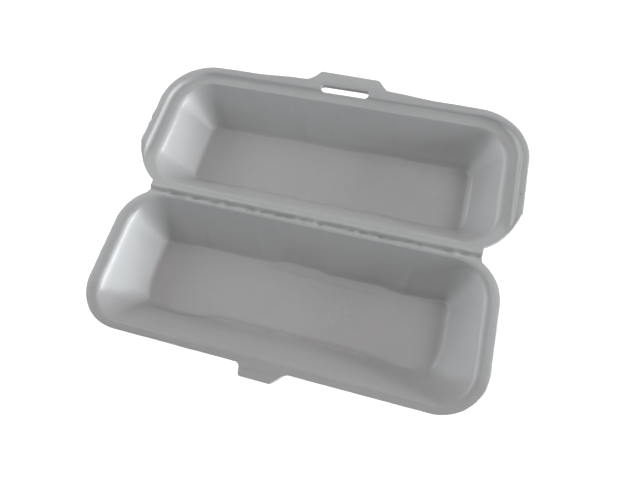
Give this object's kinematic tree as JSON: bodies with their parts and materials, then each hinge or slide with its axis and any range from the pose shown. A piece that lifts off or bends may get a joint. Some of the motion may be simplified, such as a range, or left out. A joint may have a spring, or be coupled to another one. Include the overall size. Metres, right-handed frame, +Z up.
{
  "type": "foam clamshell container",
  "caption": "Long hinged foam food container laid open: a deep tray and a lid with a stepped lip, a slotted tab and a latch tongue.",
  "frame": {"origin": "middle of the base's underside, on the table", "axes": "+X along the hinge line, +Y from the latch tongue across the hinge to the lid, +Z up out of the trays"},
  "size_m": [0.2098, 0.176, 0.0282],
  "materials": {
    "foam": "satin skin on light grey polystyrene foam"
  },
  "bodies": {
    "base": {"base_tray": "foam"},
    "lid": {"lid": "foam"}
  },
  "joints": [
    {"name": "lid_hinge", "type": "hinge", "parent": "base", "child": "lid", "pos_m": [0, 0.0388, 0.02515], "axis": [1, 0, 0], "range_deg": [0, 180]}
  ]
}
